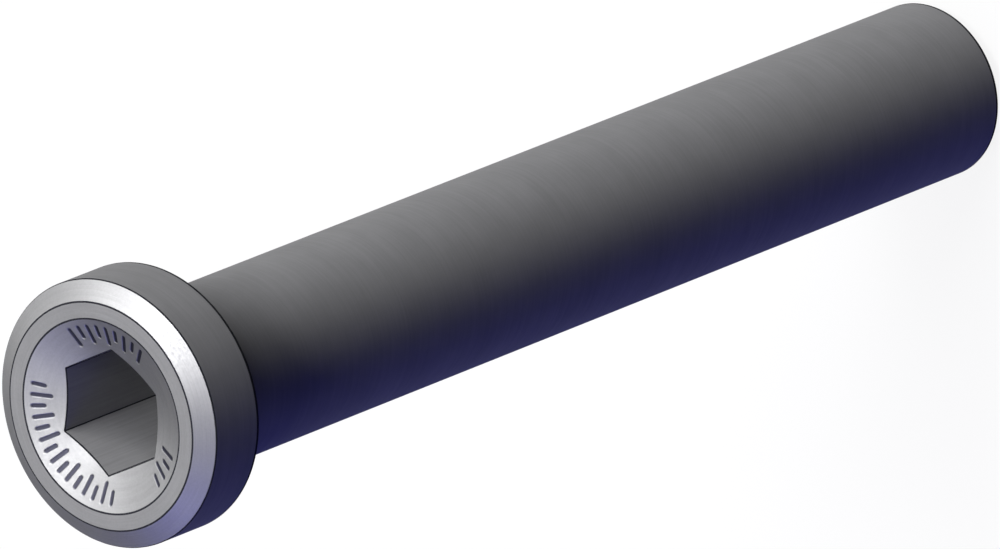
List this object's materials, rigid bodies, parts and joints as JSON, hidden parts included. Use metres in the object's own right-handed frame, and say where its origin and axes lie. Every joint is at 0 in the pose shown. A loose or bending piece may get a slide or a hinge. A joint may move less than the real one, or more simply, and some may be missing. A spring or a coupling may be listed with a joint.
{
  "type": "screw",
  "caption": "Low-head screw with a long plain round shank, and a chamfered head whose dished face has a hexagon socket.",
  "frame": {"origin": "centre of the flat far end of the shank, on the surface that the screw stands on", "axes": "+Z along the screw's axis, up to the head; +Y through a corner of the hexagon socket"},
  "size_m": [0.012, 0.012, 0.0585],
  "materials": {
    "steel": "dark turned steel, satin on the shank, brighter on the machined head face"
  },
  "bodies": {
    "root": {"screw": "steel"}
  },
  "joints": []
}
